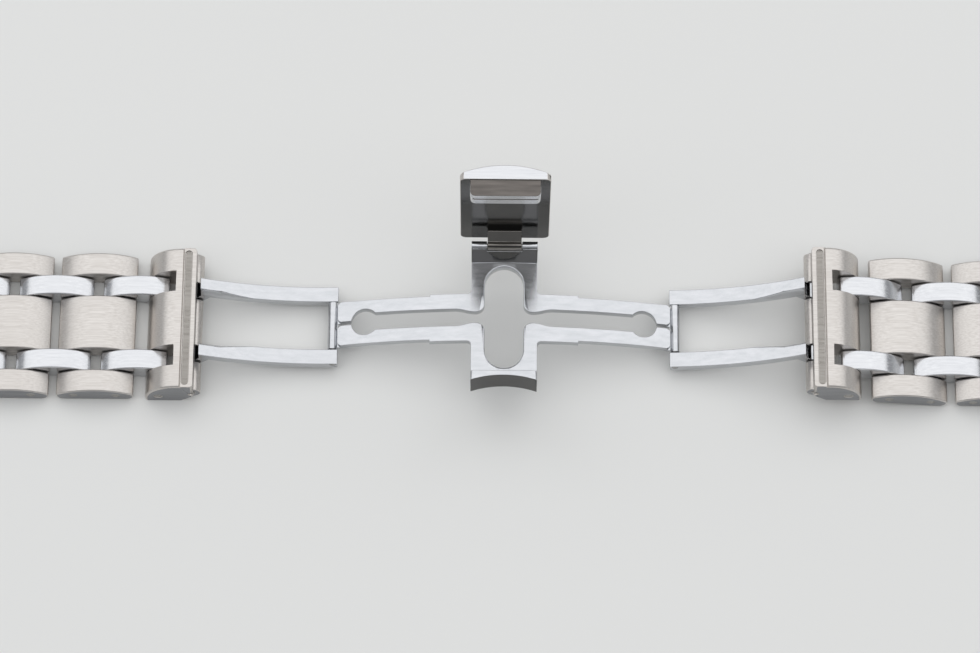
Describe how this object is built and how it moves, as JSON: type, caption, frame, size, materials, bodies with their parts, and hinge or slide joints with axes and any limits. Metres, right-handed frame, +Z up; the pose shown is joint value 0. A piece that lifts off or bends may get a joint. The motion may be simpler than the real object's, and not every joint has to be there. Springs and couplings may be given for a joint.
{
  "type": "watch bracelet",
  "caption": "Steel link watch bracelet lying open, with an unfolded butterfly clasp, its lid stood up, and lug end links for a watch case.",
  "frame": {"origin": "on the surface that the bracelet lies on, under the middle of its bounding box", "axes": "+X along the bracelet towards the half with the raised end link, +Y across it towards the lid hinge, +Z up out of its outer face"},
  "size_m": [0.1888, 0.0204, 0.0262],
  "materials": {
    "satin_steel": "brushed along the bracelet",
    "polished_steel": "polished steel",
    "pin_steel": "ground pins"
  },
  "bodies": {
    "blade": {"blade": "polished_steel", "lid_pin": "pin_steel", "left_blade_pin": "pin_steel", "right_blade_pin": "pin_steel"},
    "lid": {"lid": "satin_steel", "lid_latch_bar": "polished_steel", "lid_hinge_lug": "polished_steel"},
    "left_rails": {"left_back_rail": "polished_steel", "left_front_rail": "polished_steel"},
    "left_end": {"left_end_link": "satin_steel", "left_hinge_pin": "pin_steel", "left_end_link_pin": "pin_steel"},
    "left_mid_1": {"left_mid_pair_1": "polished_steel"},
    "left_row_1": {"left_centre_1": "satin_steel", "left_outer_pair_1": "satin_steel", "left_row_pins_1": "pin_steel"},
    "left_mid_2": {"left_mid_pair_2": "polished_steel"},
    "left_row_2": {"left_centre_2": "satin_steel", "left_outer_pair_2": "satin_steel", "left_row_pins_2": "pin_steel"},
    "left_mid_3": {"left_mid_pair_3": "polished_steel"},
    "left_row_3": {"left_centre_3": "satin_steel", "left_outer_pair_3": "satin_steel", "left_row_pins_3": "pin_steel"},
    "left_mid_4": {"left_mid_pair_4": "polished_steel"},
    "left_row_4": {"left_centre_4": "satin_steel", "left_outer_pair_4": "satin_steel", "left_row_pins_4": "pin_steel"},
    "left_mid_5": {"left_mid_pair_5": "polished_steel"},
    "left_lug_link": {"left_lug_end": "satin_steel", "left_lug_pin": "pin_steel"},
    "right_rails": {"right_back_rail": "polished_steel", "right_front_rail": "polished_steel"},
    "right_end": {"right_end_link": "satin_steel", "right_hinge_pin": "pin_steel", "right_end_link_pin": "pin_steel"},
    "right_mid_1": {"right_mid_pair_1": "polished_steel"},
    "right_row_1": {"right_centre_1": "satin_steel", "right_outer_pair_1": "satin_steel", "right_row_pins_1": "pin_steel"},
    "right_mid_2": {"right_mid_pair_2": "polished_steel"},
    "right_row_2": {"right_centre_2": "satin_steel", "right_outer_pair_2": "satin_steel", "right_row_pins_2": "pin_steel"},
    "right_mid_3": {"right_mid_pair_3": "polished_steel"},
    "right_row_3": {"right_centre_3": "satin_steel", "right_outer_pair_3": "satin_steel", "right_row_pins_3": "pin_steel"},
    "right_mid_4": {"right_mid_pair_4": "polished_steel"},
    "right_row_4": {"right_centre_4": "satin_steel", "right_outer_pair_4": "satin_steel", "right_row_pins_4": "pin_steel"},
    "right_mid_5": {"right_mid_pair_5": "polished_steel"},
    "right_lug_link": {"right_lug_end": "satin_steel", "right_lug_pin": "pin_steel"}
  },
  "joints": [
    {"name": "lid_hinge", "type": "hinge", "parent": "blade", "child": "lid", "pos_m": [0.00018, 0.00681, 0.00935], "axis": [1, 0, 0], "range_deg": [0, 90]},
    {"name": "left_rail_fold", "type": "hinge", "parent": "blade", "child": "left_rails", "pos_m": [-0.02062, -0.00096, 0.0018], "axis": [0, 1, 0], "range_deg": [0, 156.5]},
    {"name": "left_end_fold", "type": "hinge", "parent": "left_rails", "child": "left_end", "pos_m": [-0.03752, -0.00096, 0.0021], "axis": [0, 1, 0], "range_deg": [-157, 0.5]},
    {"name": "left_mid_1_hinge", "type": "hinge", "parent": "left_end", "child": "left_mid_1", "pos_m": [-0.04162, -0.00096, 0.00145], "axis": [0, -1, 0], "range_deg": [-12, 13.5]},
    {"name": "left_row_1_hinge", "type": "hinge", "parent": "left_mid_1", "child": "left_row_1", "pos_m": [-0.04676, -0.00096, 0.00145], "axis": [0, -1, 0], "range_deg": [-12, 1]},
    {"name": "left_mid_2_hinge", "type": "hinge", "parent": "left_row_1", "child": "left_mid_2", "pos_m": [-0.05191, -0.00096, 0.00145], "axis": [0, -1, 0], "range_deg": [-12, 8]},
    {"name": "left_row_2_hinge", "type": "hinge", "parent": "left_mid_2", "child": "left_row_2", "pos_m": [-0.05705, -0.00096, 0.00145], "axis": [0, -1, 0], "range_deg": [-12, 16]},
    {"name": "left_mid_3_hinge", "type": "hinge", "parent": "left_row_2", "child": "left_mid_3", "pos_m": [-0.0622, -0.00096, 0.00145], "axis": [0, -1, 0], "range_deg": [-12, 16]},
    {"name": "left_row_3_hinge", "type": "hinge", "parent": "left_mid_3", "child": "left_row_3", "pos_m": [-0.06734, -0.00096, 0.00145], "axis": [0, -1, 0], "range_deg": [-12, 16]},
    {"name": "left_mid_4_hinge", "type": "hinge", "parent": "left_row_3", "child": "left_mid_4", "pos_m": [-0.07249, -0.00096, 0.00145], "axis": [0, -1, 0], "range_deg": [-12, 16]},
    {"name": "left_row_4_hinge", "type": "hinge", "parent": "left_mid_4", "child": "left_row_4", "pos_m": [-0.07763, -0.00096, 0.00145], "axis": [0, -1, 0], "range_deg": [-12, 16]},
    {"name": "left_mid_5_hinge", "type": "hinge", "parent": "left_row_4", "child": "left_mid_5", "pos_m": [-0.08278, -0.00096, 0.00145], "axis": [0, -1, 0], "range_deg": [-12, 16]},
    {"name": "left_lug_link_hinge", "type": "hinge", "parent": "left_mid_5", "child": "left_lug_link", "pos_m": [-0.08792, -0.00096, 0.00145], "axis": [0, -1, 0], "range_deg": [-12, 16]},
    {"name": "right_rail_fold", "type": "hinge", "parent": "blade", "child": "right_rails", "pos_m": [0.02098, -0.00096, 0.0018], "axis": [0, -1, 0], "range_deg": [-7.2, 149.3]},
    {"name": "right_end_fold", "type": "hinge", "parent": "right_rails", "child": "right_end", "pos_m": [0.03771, -0.00096, 0.00422], "axis": [0, -1, 0], "range_deg": [-149.8, 7.7]},
    {"name": "right_mid_1_hinge", "type": "hinge", "parent": "right_end", "child": "right_mid_1", "pos_m": [0.04181, -0.00096, 0.00357], "axis": [0, 1, 0], "range_deg": [-25, 0.5]},
    {"name": "right_row_1_hinge", "type": "hinge", "parent": "right_mid_1", "child": "right_row_1", "pos_m": [0.04683, -0.00096, 0.00241], "axis": [0, 1, 0], "range_deg": [-7.85, 5.15]},
    {"name": "right_mid_2_hinge", "type": "hinge", "parent": "right_row_1", "child": "right_mid_2", "pos_m": [0.05191, -0.00096, 0.00162], "axis": [0, 1, 0], "range_deg": [-4.72, 15.28]},
    {"name": "right_row_2_hinge", "type": "hinge", "parent": "right_mid_2", "child": "right_row_2", "pos_m": [0.05705, -0.00096, 0.00148], "axis": [0, 1, 0], "range_deg": [-10.67, 17.33]},
    {"name": "right_mid_3_hinge", "type": "hinge", "parent": "right_row_2", "child": "right_mid_3", "pos_m": [0.0622, -0.00096, 0.00145], "axis": [0, 1, 0], "range_deg": [-11.8, 16.2]},
    {"name": "right_row_3_hinge", "type": "hinge", "parent": "right_mid_3", "child": "right_row_3", "pos_m": [0.06734, -0.00096, 0.00145], "axis": [0, 1, 0], "range_deg": [-11.96, 16.04]},
    {"name": "right_mid_4_hinge", "type": "hinge", "parent": "right_row_3", "child": "right_mid_4", "pos_m": [0.07249, -0.00096, 0.00145], "axis": [0, 1, 0], "range_deg": [-11.99, 16]},
    {"name": "right_row_4_hinge", "type": "hinge", "parent": "right_mid_4", "child": "right_row_4", "pos_m": [0.07763, -0.00096, 0.00145], "axis": [0, 1, 0], "range_deg": [-12, 16]},
    {"name": "right_mid_5_hinge", "type": "hinge", "parent": "right_row_4", "child": "right_mid_5", "pos_m": [0.08278, -0.00096, 0.00145], "axis": [0, 1, 0], "range_deg": [-12, 16]},
    {"name": "right_lug_link_hinge", "type": "hinge", "parent": "right_mid_5", "child": "right_lug_link", "pos_m": [0.08792, -0.00096, 0.00145], "axis": [0, 1, 0], "range_deg": [-12, 16]}
  ],
  "couplings": [
    {"joint": "left_end_fold", "follows": "left_rail_fold", "ratio": -1},
    {"joint": "right_end_fold", "follows": "right_rail_fold", "ratio": -1}
  ]
}
